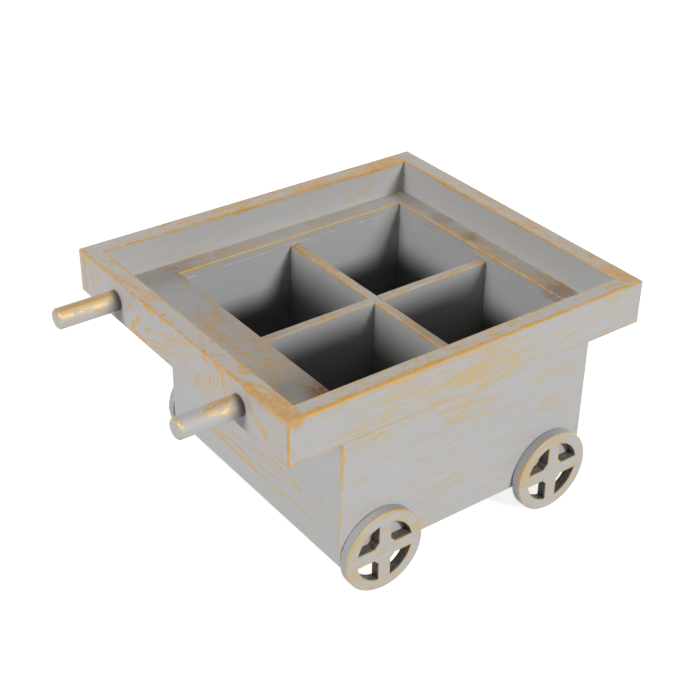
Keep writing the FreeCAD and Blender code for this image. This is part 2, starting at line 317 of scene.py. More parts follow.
def finishPaint(made, tree, spot, wax, look, shade=None, stain=None, fresh=0.0, gleam=None):
    # grey paint under the wax, with the brush's relief; a thin film of wax is paler than a thick one
    tone = patches(tree, spot, look["tone"], noise["low"], noise["high"], detail=3)
    paint = addNode(tree, "MixRGB", {0: tone, 1: toLinear(look["grey"]), 2: toLinear(look["paleGrey"])})
    # shade darkens the paint: painted shade on most pieces, dirt specks on the glue seams, a darker ring at
    # the handles' roots
    if shade is not None:
        paint = addNode(tree, "MixRGB", {0: shade, 1: paint, 2: toLinear(look["shade"])})
    # gleam turns thick wax to the bright wax: rubbed patches and brighter rail edges, and on the handles a
    # painted highlight
    if gleam is None:
        gleam = glints(tree, spot, look["glints"])
    film = addNode(tree, "MixRGB", {0: fresh, 1: toLinear(look["film"]), 2: toLinear(look["freshFilm"])})
    thick = addNode(tree, "MixRGB", {0: fresh, 1: toLinear(look["wax"]), 2: toLinear(look["freshWax"])})
    thick = addNode(tree, "MixRGB", {0: gleam, 1: thick, 2: toLinear(look["brightWax"])})
    full = addNode(tree, "MapRange", {"Value": wax, "From Min": look["filmWax"],
                                      "From Max": look["thickWax"]})
    gold = addNode(tree, "MixRGB", {0: full, 1: film, 2: thick})
    colour = addNode(tree, "MixRGB", {0: wax, 1: paint, 2: gold})
    if stain is not None:
        colour = addNode(tree, "MixRGB", {0: stain, 1: colour, 2: toLinear(look["stain"])})
    metal = masked(tree, wax, look["metal"])
    rough = addNode(tree, "MapRange", {"Value": wax, "To Min": look["paintRough"],
                                       "To Max": look["waxRough"]})
    relief = uneven(tree, spot, look["brush"], detail=3)
    bump = addNode(tree, "Bump", {"Height": relief, "Strength": look["relief"],
                                  "Distance": look["reliefDepth"] * mm})
    shader = addNode(tree, "BsdfPrincipled", {"Base Color": colour, "Metallic": metal, "Roughness": rough,
                                              "Normal": bump, "IOR": look["ior"]})
    addNode(tree, "OutputMaterial", {"Surface": shader})
    return made


def alongGrain(grain, sizes):
    # sizes along the grain and across it, as one for each axis
    along, across = sizes
    return (along, across, across) if grain == "x" else (across, along, across)


def facing(tree, distance, full=0.35, end=1.0):
    # 1 on a face, 0 a millimetre off it
    return addNode(tree, "MapRange", {"Value": distance, "From Min": end, "From Max": full})


# Rails of the tray
railLook = {
    "outerTop": {"x": {"thin": 0.4, "thick": 0.7, "run": 24, "least": 0.7, "most": 1.0, "shift": 0.0,
                       "frayed": (7, 3, 2),
                       "richer": [(-90, -106, 147, 34, 0.5), (-50, -106, 147, 90, 0.45)]},
                 "y": {"thin": 0.5, "thick": 0.95, "run": 16, "least": 0.75, "most": 1.0, "shift": 2.0}},
    # on top, behind the near side's edge
    "nearTop": {"thin": 1.3, "thick": 2.3, "run": 20, "least": 0.75, "most": 1.0, "shift": 6.0,
                "frayed": (7, 2, 2), "richer": [(-50, -106, 147, 90, 1.0)]},
    # at x below brightFrom the wax near the top is bright, and from dullFrom on it is dull
    "dullFrom": 70, "brightFrom": -20, "dull": 0.35,
    "innerTop": {"x": {"thin": 0.45, "thick": 0.9, "run": 22, "least": 0.55, "most": 0.95, "shift": 9.0,
                       "richer": [(10, 95, 147, 100, 0.5), (104, 97, 147, 34, 1.0),
                                  (20, -95, 147, 150, 0.5)]},
                 "y": {"thin": 0.35, "thick": 0.8, "run": 20, "least": 0.6, "most": 0.95, "shift": 9.5,
                       "richer": [(-91, 0, 147, 150, 0.6), (-90, 80, 147, 24, 0.4), (127, 30, 147, 110, 0.5),
                                  (-92, -52, 147, 14, 0.9)]}},
    "outerBottom": {"thin": 0.5, "thick": 0.8, "run": 18, "least": 0.5, "most": 0.85, "shift": 17.0,
                    "frayed": (9, 9, 6), "richer": [(-95, -106, 120, 80, 0.4), (-101, -106, 120, 14, 0.6)]},
    "corner": {"thin": 0.6, "thick": 1.0, "run": 16, "least": 0.7, "most": 0.95, "shift": 23.0,
               "frayed": (3, 3, 8)},
    "wander": {"x": 0.15, "y": 0.6}, "wanderSize": 13,
    # sizes along the grain and across it
    "faceStroke": (11, 0.75), "faceBand": (36, 6), "topStroke": (4.5, 1.6), "topBand": (14, 7),
    "tone": (40, 2.2), "brush": (18, 0.8),
    "face": {"x": {"gather": 0.7, "start": 0.57, "strength": 0.6, "haze": 0.13, "shift": 0.0,
                   "richer": [(4, -106, 130, 64, 0.14), (-86, -106, 131, 24, -0.07),
                              (-52, -106, 133, 34, 0.08)]},
             "y": {"gather": 0.7, "start": 0.58, "strength": 0.3, "haze": 0.16, "shift": 2.0,
                   "richer": [(-101, -10, 124, 40, 0.05)]}},
    "top": {"x": {"gather": 0.8, "start": 0.5, "strength": 0.85, "haze": 0.14, "shift": 3.0, "soft": 0.28,
                  "fine": 5,
                  "richer": [(20, 100, 147, 120, 0.15), (112, 100, 147, 22, 0.2), (126, -100, 147, 26, 0.14),
                             (10, -100, 147, 110, 0.04)]},
            "y": {"gather": 0.8, "start": 0.51, "strength": 0.75, "haze": 0.24, "shift": 4.0, "soft": 0.26,
                  "fine": 4, "turn": (0, 0, 0.5),
                  "richer": [(133, -95, 147, 34, 0.2), (133, 10, 147, 110, 0.04),
                             (-96, 60, 147, 50, 0.04)]}},
    # the inner faces: how much of the outer ones' brushing they have, and how much painted shade darkens
    # them
    "innerShare": 0.3, "innerShade": 0.18,
    # fresher wax on the sides, from the first height over the bottom to the second
    "fresh": {"x": 1.0, "y": 0.0}, "freshHeights": (1, 3),
    # brighter wax near the top, from the first depth under it to the second, where it is also less fresh
    "gleam": {"x": 0.9, "y": 0.25}, "gleamDepths": (6, 2), "gleamFresh": -0.7, "glints": 0.4,
    # strokes of wax on the handle end: places, half width, strength
    "dabs": [
        ([(-101, 100, 143.5), (-101, 101, 137)], 2.0, 0.8), ([(-101, 101, 137), (-101, 99, 123)], 1.4, 0.73),
        ([(-101, 91, 146), (-101, 91, 126)], 1.0, 0.53), ([(-101, 86, 142), (-101, 85, 130)], 0.9, 0.53),
        ([(-101, 104, 147), (-101, 93, 146.5)], 1.8, 0.8),
        ([(-102, 90, 147), (-100, 62, 147), (-94, 36, 147)], 2.2, 0.58),
        ([(-101, 80, 147), (-98, 58, 147), (-97, 47, 147)], 1.6, 0.63),
        ([(-101, 30, 145), (-101, 22, 145.5)], 2.0, 0.85), ([(-101, 14, 146), (-101, 11, 145)], 1.8, 0.8),
        ([(-101, -28, 146.5), (-101, -32, 144)], 2.0, 0.85),
        ([(-101, -40, 145), (-101, -48, 145)], 2.0, 0.85),
        ([(-101, 38, 134.5), (-101, 45, 127), (-101, 45, 123), (-101, 40, 122), (-101, 30, 121)], 2.0, 0.8),
        ([(-101, 48, 120.5), (-101, 4, 121)], 1.8, 0.58),
        ([(-101, 31, 130), (-101, 26, 133)], 1.7, 0.73), ([(-101, 15, 136), (-101, 10, 138)], 1.4, 0.58),
        ([(-101, 47, 138), (-101, 53, 131)], 1.3, 0.48),
        ([(-101, 38, 122), (-101, 10, 131), (-101, -3, 137)], 1.2, 0.48),
        ([(-101, 30, 121.5), (-101, 5, 129.5), (-101, -12, 133)], 1.2, 0.5),
        ([(-101, 9, 135.5), (-101, -17, 143.5)], 1.2, 0.5),
        ([(-101, 2, 138.5), (-101, -17, 146)], 1.0, 0.43),
        ([(-101, 18, 122.5), (-101, 7, 127)], 1.3, 0.53),
        ([(-101, 16, 120.5), (-101, -25, 120.5)], 1.2, 0.58),
        ([(-101, -25, 132), (-101, -20, 121)], 1.3, 0.58), ([(-101, -32, 132), (-101, -31, 120)], 1.0, 0.5),
        ([(-101, -36, 136), (-101, -33, 121)], 1.2, 0.56), ([(-101, -39, 140), (-101, -40, 128)], 1.0, 0.48),
        ([(-101, -44, 139), (-101, -42, 133)], 1.0, 0.63), ([(-101, -47, 144), (-101, -51, 130)], 1.4, 0.75),
        ([(-101, -52, 140), (-101, -55, 136)], 1.0, 0.48),
        ([(-101, -70, 141), (-101, -75, 134), (-101, -82, 131)], 2.2, 0.5),
        ([(-101, -80, 132), (-101, -87, 128)], 2.6, 0.66),
        ([(-94, -53, 147), (-94, -58, 147)], 2.6, 0.7), ([(-101, -50, 147), (-100, -64, 147)], 1.8, 0.68),
        ([(-100, -62, 147), (-94, -74, 147)], 1.6, 0.68), ([(-97, -66, 147), (-92, -80, 147)], 1.3, 0.58),
        ([(-100, -66, 147), (-99, -82, 147)], 2.4, 0.85), ([(-97, -84, 147), (-96, -104, 147)], 6.5, 0.82),
        ([(-101.5, -106, 146), (-97, -106, 147)], 3.0, 0.85),
        ([(-97, -106, 147), (-90, -106, 147)], 1.6, 0.8),
        ([(130, -84, 147), (134, -94, 147)], 3.4, 0.7), ([(134, -94, 147), (129, -98, 147)], 3.0, 0.6),
    ],
    "dabGrain": (2.5, 3.0, 2.0),
    # wax along the far side: on the top by the corner and smudged on the inner face
    "farDabs": [
        ([(98, 98, 147), (128, 98, 147)], 4.0, 0.62), ([(58, 97, 147), (104, 97, 147)], 2.0, 0.6),
        ([(98, 95, 137), (101, 95, 138)], 2.4, 0.3), ([(91, 95, 133), (97, 95, 134)], 2.2, 0.3),
        ([(79, 95, 138), (82, 95, 138)], 1.8, 0.2), ([(82, 95, 133), (87, 95, 129)], 2.2, 0.25),
        ([(46, 95, 129), (52, 95, 129)], 1.8, 0.28), ([(-44, 95, 127), (-20, 95, 129)], 1.3, 0.3),
    ],
}


def railEdges(tree, spot, drift, onTop, grain):
    # wax on all edges of a rail, and along the near side also on top behind its edge
    z = addNode(tree, "SeparateXYZ", {0: drift}, out="Z")
    outer, corner = planDistance(tree, drift, trayOutline)
    inner, _ = planDistance(tree, drift, trayInside)
    top, bottom = away(tree, z, trayTop), away(tree, z, trayBottom)
    edges = strongest(
        tree,
        rubbedEdge(tree, spot, outer, top, railLook["outerTop"][grain]),
        rubbedEdge(tree, spot, inner, top, railLook["innerTop"][grain]),
        rubbedEdge(tree, spot, outer, bottom, railLook["outerBottom"]),
        rubbedEdge(tree, spot, outer, corner, railLook["corner"]),
    )
    if grain == "y":
        return edges
    y = addNode(tree, "SeparateXYZ", {0: spot}, out="Y")
    nearSide = addNode(tree, "Math", {0: y, 1: 0.0}, operation="LESS_THAN")
    behind = rubbedEdge(tree, spot, outer, top, railLook["nearTop"])
    return strongest(tree, edges, masked(tree, behind, nearSide, onTop))


def railGold(tree, spot, onOuter, onTop, grain):
    # how fresh the wax of a rail is, and how brightly it gleams
    x, z = (addNode(tree, "SeparateXYZ", {0: spot}, out=axis) for axis in "XZ")
    freshFrom, freshTo = railLook["freshHeights"]
    raised = addNode(tree, "MapRange", {"Value": z, "From Min": trayBottom + freshFrom,
                                        "From Max": trayBottom + freshTo})
    gleamFrom, gleamTo = railLook["gleamDepths"]
    nearTop = addNode(tree, "MapRange", {"Value": z, "From Min": trayTop - gleamFrom,
                                         "From Max": trayTop - gleamTo})
    lower = addNode(tree, "Math", {0: nearTop, 1: railLook["gleamFresh"], 2: 1.0}, operation="MULTIPLY_ADD")
    fresh = masked(tree, onOuter, raised, lower, railLook["fresh"][grain])
    bright = addNode(tree, "MapRange", {"Value": x, "From Min": railLook["dullFrom"],
                                        "From Max": railLook["brightFrom"], "To Min": railLook["dull"]})
    gleam = masked(tree, onOuter, nearTop, opposite(tree, onTop), bright, railLook["gleam"][grain])
    return fresh, strongest(tree, gleam, glints(tree, spot, railLook["glints"]))


def railFinish(grain):
    # softwood rail, brush-painted in satin grey and rubbed with wax: matt grey, soft gold lines and strokes
    made, tree, spot = newFinish("BrushPaintedPineRail_" + grain)
    drift = drifting(tree, spot, railLook["wanderSize"], railLook["wander"][grain])
    z = addNode(tree, "SeparateXYZ", {0: spot}, out="Z")
    onOuter = facing(tree, planDistance(tree, spot, trayOutline)[0])
    onInner = facing(tree, planDistance(tree, spot, trayInside)[0])
    onTop = facing(tree, away(tree, z, trayTop))
    face = brushed(tree, spot, dict(railLook["face"][grain], band=alongGrain(grain, railLook["faceBand"]),
                                    stroke=alongGrain(grain, railLook["faceStroke"])))
    top = brushed(tree, spot, dict(railLook["top"][grain], band=alongGrain(grain, railLook["topBand"]),
                                   stroke=alongGrain(grain, railLook["topStroke"])))
    onFaces = strongest(tree, onOuter, masked(tree, onInner, railLook["innerShare"]))
    marks = railLook["dabs"] if grain == "y" else railLook["farDabs"]
    wax = strongest(
        tree,
        railEdges(tree, spot, drift, onTop, grain),
        masked(tree, face, onFaces),
        masked(tree, top, onTop),
        dabs(tree, drift, marks, railLook["dabGrain"]),
    )
    look = dict(paintLook, tone=alongGrain(grain, railLook["tone"]),
                brush=alongGrain(grain, railLook["brush"]))
    # painted shade on the rails' inner faces
    shade = masked(tree, onInner, railLook["innerShade"])
    fresh, gleam = railGold(tree, spot, onOuter, onTop, grain)
    return finishPaint(made, tree, spot, wax, look, shade=shade, fresh=fresh, gleam=gleam)


# Walls of the box
wallLook = {
    "corner": {"thin": 0.35, "thick": 0.7, "run": 20, "least": 0.4, "most": 0.9, "shift": 3.0,
               "frayed": (3, 3, 9), "richer": [(-55, -88, 102, 34, 0.6)]},
    "bottom": {"thin": 0.4, "thick": 0.8, "run": 18, "least": 0.5, "most": 0.95, "shift": 13.0},
    "face": {"x": {"gather": 0.85, "start": 0.63, "strength": 0.5, "haze": 0.15, "shift": 5.0,
                   "richer": [(-20, -88, 118, 46, 0.14), (40, -88, 116, 48, 0.16), (100, -88, 118, 40, 0.1),
                              (10, -88, 30, 34, 0.06)]},
             "y": {"gather": 0.9, "start": 0.68, "strength": 0.3, "haze": 0.1, "shift": 6.0, "richer": []}},
    # strokes on the handle end's wall
    "dabs": [
        ([(-55, 45, 38), (-55, 29, 38.3), (-55, 12, 37), (-55, -6, 37.3)], 2.0, 0.6),
        ([(-55, -6, 37.3), (-55, -22, 36.2), (-55, -37, 35.1)], 1.5, 0.42),
        ([(-55, 42, 40), (-55, 24, 43.2), (-55, 5, 42)], 1.7, 0.5),
        ([(-55, 5, 42), (-55, -11, 42.7), (-55, -29, 45)], 1.4, 0.38),
        ([(-55, 20, 50), (-55, 4, 49.8), (-55, -13, 53.5)], 1.5, 0.42),
        ([(-55, -13, 53.5), (-55, -27, 54.4), (-55, -42, 52.6), (-55, -50, 51.8)], 1.4, 0.5),
        ([(-55, -8, 49.5), (-55, -24, 50.6), (-55, -38, 49.2), (-55, -50, 48.6)], 1.2, 0.38),
        ([(-55, -52, 47.5), (-55, -62, 44.5)], 1.2, 0.34),
        ([(-55, -27, 39.5), (-55, -35, 38.8), (-55, -47, 38.6), (-55, -57, 37.8)], 1.5, 0.46),
        ([(-55, -57, 37.8), (-55, -65, 35.9)], 1.0, 0.34), ([(-55, -66, 56.5), (-55, -81, 53.7)], 1.5, 0.34),
        ([(-55, -63, 77), (-55, -70, 77.4)], 1.4, 0.24), ([(-55, -54, 23.8), (-55, -70, 22.1)], 1.0, 0.22),
    ],
    "dabGrain": (3, 18, 1.1),
    "wander": 0.35, "wanderSize": 13, "fresh": {"x": 0.75, "y": 0.0},
    # sizes along the grain and across it
    "faceStroke": (12, 0.75), "faceBand": (36, 7), "tone": (40, 2.5), "brush": (18, 0.8),
    # inside, painted shade darkens the grey from the first height down to the second
    "shadeHeights": (98, 76), "leastShade": 0.32,
    # dirty specks inside, on the end walls
    "specks": [(115, -44, 118, 15, 0.7), (115, 54, 119, 16, 0.4)], "speckColour": "#6B6255",
    "speckSize": (1.8, 3.2, 1.4), "speckLow": 0.58, "speckHigh": 0.72,
}


def wallFinish(grain):
    # thin board painted the same grey: streaked with wax outside, and darker inside with painted shade
    made, tree, spot = newFinish("BrushPaintedBoxBoard_" + grain)
    drift = drifting(tree, spot, wallLook["wanderSize"], wallLook["wander"])
    z = addNode(tree, "SeparateXYZ", {0: drift}, out="Z")
    outer, corner = planDistance(tree, drift, boxOutline)
    edges = strongest(
        tree,
        rubbedEdge(tree, spot, outer, corner, wallLook["corner"]),
        rubbedEdge(tree, spot, outer, away(tree, z, boxBottom), wallLook["bottom"]),
    )
    onOuter = facing(tree, planDistance(tree, spot, boxOutline)[0])
    onInner = facing(tree, planDistance(tree, spot, well)[0])
    face = brushed(tree, spot, dict(wallLook["face"][grain], band=alongGrain(grain, wallLook["faceBand"]),
                                    stroke=alongGrain(grain, wallLook["faceStroke"])))
    wax = masked(tree, face, onOuter)
    specks = 0.0
    if grain == "y":
        wax = strongest(tree, wax, dabs(tree, drift, wallLook["dabs"], wallLook["dabGrain"]))
        specks = patches(tree, spot, wallLook["speckSize"], wallLook["speckLow"], wallLook["speckHigh"],
                         detail=4, shift=9)
        specks = masked(tree, softSpots(tree, spot, wallLook["specks"]), onInner, specks)
    wax = strongest(tree, edges, wax)
    # painted shade inside the box, growing deeper downwards
    height = addNode(tree, "SeparateXYZ", {0: spot}, out="Z")
    shadeFrom, shadeTo = wallLook["shadeHeights"]
    insidePaintedShade = addNode(tree, "MapRange", {"Value": height, "From Min": shadeFrom, "From Max": shadeTo,
                                      "To Min": wallLook["leastShade"]}, interpolation_type="SMOOTHSTEP")
    look = dict(paintLook, tone=alongGrain(grain, wallLook["tone"]),
                brush=alongGrain(grain, wallLook["brush"]), stain=wallLook["speckColour"])
    return finishPaint(made, tree, spot, wax, look, shade=masked(tree, insidePaintedShade, onInner), stain=specks,
                       fresh=wallLook["fresh"][grain])


# Tray floor
floorLook = {
    "wellEdge": {"thin": 0.45, "thick": 0.85, "run": 9, "least": 0.5, "most": 1.0, "shift": 5.0,
                 "frayed": (4, 4, 2), "richer": [(-48, 82, 125, 22, 0.7), (115, 0, 125, 90, 0.4)]},
    "stains": {"stroke": (2.2, 9, 3), "band": (10, 22, 14), "gather": 0.8, "start": 0.52, "strength": 0.44,
               "soft": 0.24, "haze": 0.36, "shift": 7.0, "turn": (0, 0, 0.12),
               "richer": [(-62, -10, 125, 50, 0.07), (121, 20, 125, 70, 0.05), (-76, 72, 125, 52, -0.15)]},
    "farStains": {"stroke": (8, 3, 3), "band": (24, 12, 14), "gather": 0.8, "start": 0.55, "strength": 0.4,
                  "soft": 0.22, "haze": 0.3, "shift": 7.5, "richer": [(-30, 90, 125, 60, 0.1)]},
    # strokes of wax on the ledges: places, half width, strength
    "dabs": [
        ([(-67, 34, 125.5), (-68, 11, 125.5), (-66, -17, 125.5)], 2.4, 0.55),
        ([(-66, -17, 125.5), (-60, -34, 125.5), (-58, -46, 125.5)], 2.0, 0.5),
        ([(-53, 52, 125.5), (-53, 36, 125.5)], 2.0, 0.45),
        ([(-58, -58, 125.5), (-56, -66, 125.5)], 2.6, 0.5),
        ([(116, 44, 125.5), (121, 10, 125.5)], 2.4, 0.5), ([(123, 30, 125.5), (124, 4, 125.5)], 1.6, 0.5),
        ([(116, -10, 125.5), (120, -50, 125.5)], 2.4, 0.4), ([(-20, 88, 125.5), (16, 89, 125.5)], 2.5, 0.35),
        ([(-44, 92, 125.5), (-26, 92, 125.5)], 2.0, 0.45), ([(52, 90, 125.5), (92, 92, 125.5)], 2.4, 0.3),
    ],
    "dabGrain": (2.0, 3.5, 3.0),
    "wander": 0.3, "wanderSize": 9, "tone": (12, 12, 6), "brush": (3, 14, 2), "cutShade": 0.35,
    # where the stains change to those of the far ledge, measured from the well's far edge
    "farFrom": -3, "farTo": -1,
    # fresher wax on the far ledge, close to the well: gone at the first distance, full at the second
    "freshDistances": (2.5, 1.0),
    # wax stained brown: blurred spots, broken into patches
    "stain": "#7C4C18", "blur": 2.5, "blurSize": 7,
    "brownSize": (2, 3, 3), "brownLow": 0.3, "brownHigh": 0.5,
    "brown": [(-53, -68, 125.5, 14, 1.0), (122, 20, 125.5, 8, 0.4), (122, 50, 125.5, 12, 0.25),
              (120, -62, 125.5, 18, 0.5)],
}


def floorFinish():
    # board floor, thinly painted: the wax has stained it brown and gold near the well, and painted shade
    # darkens its cut edges
    made, tree, spot = newFinish("StainedPaintedTrayFloor")
    drift = drifting(tree, spot, floorLook["wanderSize"], floorLook["wander"])
    z = addNode(tree, "SeparateXYZ", {0: drift}, out="Z")
    edge, _ = planDistance(tree, drift, well)
    wellWax = rubbedEdge(tree, spot, edge, away(tree, z, floorTop), floorLook["wellEdge"])
    y, height = (addNode(tree, "SeparateXYZ", {0: spot}, out=axis) for axis in "YZ")
    onTop = facing(tree, away(tree, height, floorTop))
    farSide = addNode(tree, "MapRange", {"Value": y, "From Min": well[3] + floorLook["farFrom"],
                                         "From Max": well[3] + floorLook["farTo"]})
    stains = addNode(tree, "Mix", {0: farSide, 2: brushed(tree, spot, floorLook["stains"]),
                                   3: brushed(tree, spot, floorLook["farStains"])})
    stains = strongest(tree, stains, dabs(tree, drift, floorLook["dabs"], floorLook["dabGrain"]))
    wax = strongest(tree, wellWax, masked(tree, stains, onTop))
    blurred = drifting(tree, spot, floorLook["blurSize"], floorLook["blur"])
    brown = patches(tree, spot, floorLook["brownSize"], floorLook["brownLow"], floorLook["brownHigh"],
                    detail=5, shift=2)
    brown = masked(tree, softSpots(tree, blurred, floorLook["brown"]), brown)
    freshEnd, freshFull = floorLook["freshDistances"]
    fresh = addNode(tree, "MapRange", {"Value": edge, "From Min": freshEnd, "From Max": freshFull})
    fresh = masked(tree, farSide, fresh)
    look = dict(paintLook, tone=floorLook["tone"], brush=floorLook["brush"], stain=floorLook["stain"])
    # painted shade on the cut edges round the well
    cut = masked(tree, opposite(tree, onTop), floorLook["cutShade"])
    return finishPaint(made, tree, spot, wax, look, shade=cut, stain=brown, fresh=fresh)


# Dividers
dividerLook = {
    "topEdge": {"x": {"thin": 0.35, "thick": 0.8, "run": 14, "least": 0.3, "most": 0.8, "shift": 8.0},
                "y": {"thin": 0.45, "thick": 1.4, "run": 12, "least": 0.4, "most": 0.95, "shift": 8.0}},
    "top": {"x": {"gather": 0.7, "start": 0.51, "strength": 0.48, "haze": 0.36, "shift": 8.0,
                  "richer": [(108, 0, 120, 16, 0.15)]},
            "y": {"gather": 0.7, "start": 0.46, "strength": 0.5, "haze": 0.24, "shift": 9.0,
                  "richer": [(32, 60, 120, 30, 0.1)]}},
    # sizes along the grain and across it
    "stroke": (7, 1.1), "band": (18, 6), "tone": (30, 2.5), "brush": (16, 0.9),
    # painted shade darkens the sides from the first height down to the second
    "shadeHeights": (118, 62), "leastShade": 0.3,
    # the cross divider's top: bare of wax where the boards cross, rubbed through to orange-brown in places
    "crossing": 8, "bared": -0.8, "rubbed": 0.5, "rubbedColour": "#B0744A", "rubbedSize": (3, 8, 3),
    "rubbedLow": 0.54, "rubbedHigh": 0.7,
}


def dividerFinish(grain, piece):
    # painted board dividers: beige on top, where the edges are worn to ochre, and painted shade darkening
    # them towards the bottom
    made, tree, spot = newFinish("PaintedDivider_" + grain)
    z = addNode(tree, "SeparateXYZ", {0: spot}, out="Z")
    side, _ = planDistance(tree, spot, outlineOf(piece, piece))
    top = away(tree, z, dividerTop)
    onTop = facing(tree, top)
    edges = rubbedEdge(tree, spot, side, top, dividerLook["topEdge"][grain])
    film = brushed(tree, spot, dict(dividerLook["top"][grain], band=alongGrain(grain, dividerLook["band"]),
                                    stroke=alongGrain(grain, dividerLook["stroke"])))
    wax = strongest(tree, edges, masked(tree, film, onTop))
    rubbed = 0.0
    if grain == "y":
        low, high = place[piece]
        middle = (low + high) / 2
        crossing = near(tree, spot, middle.x, middle.y, dividerTop, dividerLook["crossing"])
        kept = addNode(tree, "Math", {0: crossing, 1: dividerLook["bared"], 2: 1.0},
                       operation="MULTIPLY_ADD")
        wax = masked(tree, wax, kept)
        rubbed = patches(tree, spot, dividerLook["rubbedSize"], dividerLook["rubbedLow"],
                         dividerLook["rubbedHigh"], detail=3, shift=6)
        rubbed = masked(tree, rubbed, onTop, dividerLook["rubbed"])
    # painted shade on the sides, deeper downwards
    shadeFrom, shadeTo = dividerLook["shadeHeights"]
    shade = addNode(tree, "MapRange", {"Value": z, "From Min": shadeFrom, "From Max": shadeTo,
                                       "To Min": dividerLook["leastShade"]})
    shade = masked(tree, shade, opposite(tree, onTop))
    look = dict(paintLook, tone=alongGrain(grain, dividerLook["tone"]),
                brush=alongGrain(grain, dividerLook["brush"]), stain=dividerLook["rubbedColour"])
    return finishPaint(made, tree, spot, wax, look, shade, rubbed)


# Floor of the compartments
# shade: how much painted shade darkens the floor of the compartments
baseLook = {"dust": 0.12, "dustSize": (18, 18, 6), "dustLow": 0.4, "dustHigh": 0.7, "shade": 0.75,
            "tone": (20, 20, 6), "brush": (18, 0.9, 0.9)}


def baseFinish():
    # thin board floor of the compartments: the same grey, dusty, and darkened with painted shade
    made, tree, spot = newFinish("BaseBoardWithPaintedShade")
    dust = patches(tree, spot, baseLook["dustSize"], baseLook["dustLow"], baseLook["dustHigh"], detail=4)
    dust = masked(tree, dust, baseLook["dust"])
    look = dict(paintLook, tone=baseLook["tone"], brush=baseLook["brush"])
    # painted shade over the whole floor of the compartments, darker still where it is dusty
    shade = addNode(tree, "Math", {0: dust, 1: baseLook["shade"]})
    return finishPaint(made, tree, spot, dust, look, shade)


# Handles
handleLook = {
    "grain": (1.6, 1.0, 1.0), "patch": (9, 5, 5), "patchShare": 0.7, "lean": 0.3, "start": 0.98,
    "soft": 0.24, "strength": 0.66, "filmBelow": 0.3, "film": 0.16,
    "tone": (16, 4, 4), "brush": (14, 0.8, 0.8), "metal": 0.2, "waxRough": 0.45,
    "wax": "#BC9148", "brightWax": "#E4C276", "filmColour": "#C6A356",
    # painted highlight: the leaf takes its bright wax colour where the dowel faces this way in y and z, from
    # this share of its radius on
    "gleamTo": (-0.76, 0.65), "gleamShare": 0.86,
    "richer": [(-122, 63, 133, 40, 0.12), (-120, -63, 133, 60, -0.26), (-112, -66, 138, 18, 0.24),
               (-137, -67, 137, 4.5, 0.34), (-114, -61, 139, 17, 0.15)],
    # round the edge of the end
    "rim": {"thin": 0.3, "thick": 0.9, "run": 8, "least": 0.25, "most": 0.9, "shift": 3.0,
            "richer": [(-138, 63, 134, 8, 0.3), (-138, -66, 138, 6, 0.5)]},
    # darker grey where the dowel meets the rail: from this far out, full at the second distance, and
    # only a little way into the rail
    "rootOut": 5.5, "rootFull": 1, "rootIn": (3, 1), "rootDark": 0.85, "rootShade": "#2F2C2A",
}


def handleRoot(tree, x):
    # dark ring of a handle where it enters the rail
    rail = trayOutline[0]
    root = addNode(tree, "MapRange", {"Value": x, "From Min": rail - handleLook["rootOut"],
                                      "From Max": rail - handleLook["rootFull"],
                                      "To Max": handleLook["rootDark"]}, interpolation_type="SMOOTHSTEP")
    gone, full = handleLook["rootIn"]
    return masked(tree, root, addNode(tree, "MapRange", {"Value": x, "From Min": rail + gone,
                                                         "From Max": rail + full}))


def handleLeaf(tree, spot, offZ, radius):
    # gold leaf wax in patches, more of it on the upper side, over a thin film
    level = uneven(tree, spot, handleLook["grain"], detail=4, shift=1)
    broad = uneven(tree, spot, handleLook["patch"], shift=6)
    level = addNode(tree, "Math", {0: broad, 1: handleLook["patchShare"], 2: level},
                    operation="MULTIPLY_ADD")
    level = richer(tree, spot, level, handleLook["richer"])
    lean = handleLook["lean"] / radius
    level = addNode(tree, "Math", {0: offZ, 1: lean, 2: level}, operation="MULTIPLY_ADD")
    start = handleLook["start"]
    leaf = addNode(tree, "MapRange", {"Value": level, "From Min": start,
                                      "From Max": start + handleLook["soft"],
                                      "To Max": handleLook["strength"]}, interpolation_type="SMOOTHSTEP")
    film = addNode(tree, "MapRange", {"Value": level, "From Min": start - handleLook["filmBelow"],
                                      "From Max": start, "To Max": handleLook["film"]})
    return addNode(tree, "Math", {0: leaf, 1: film})


